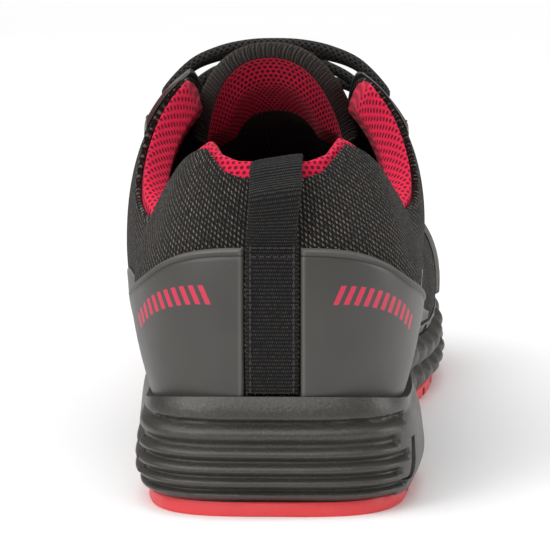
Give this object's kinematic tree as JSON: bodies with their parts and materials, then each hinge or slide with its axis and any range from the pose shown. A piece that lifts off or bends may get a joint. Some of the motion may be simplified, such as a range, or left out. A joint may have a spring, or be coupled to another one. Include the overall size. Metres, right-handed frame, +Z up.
{
  "type": "safety sneaker",
  "caption": "Low lace-up safety sneaker for the left foot, with a knit upper, padded collar, heel counter, pull loop and ribbed sole.",
  "frame": {"origin": "middle of the shoe's footprint, on the floor", "axes": "+X to the medial side of the left shoe, +Y to the toe, +Z up"},
  "size_m": [0.1044, 0.297, 0.1321],
  "materials": {
    "knit": "coarse knitted mesh, matt",
    "overlay": "smooth satin film",
    "foam": "moulded foam, satin skin",
    "rubber": "moulded rubber, satin",
    "lining": "spacer mesh, matt",
    "webbing": "ribbed webbing, matt",
    "lace": "braided cord, matt",
    "insole": "felted cloth, matt"
  },
  "bodies": {
    "root": {"midsole": "foam", "slot_insert_medial": "foam", "slot_insert_lateral": "foam", "outsole": "rubber", "upper": "knit", "insole": "insole", "collar_lining": "lining", "counter_medial": "overlay", "counter_lateral": "overlay", "side_panel_medial": "overlay", "side_panel_lateral": "overlay", "eyestay": "overlay", "toe_guard": "overlay", "tongue": "knit", "pull_strap": "webbing", "lace": "lace"}
  },
  "joints": []
}
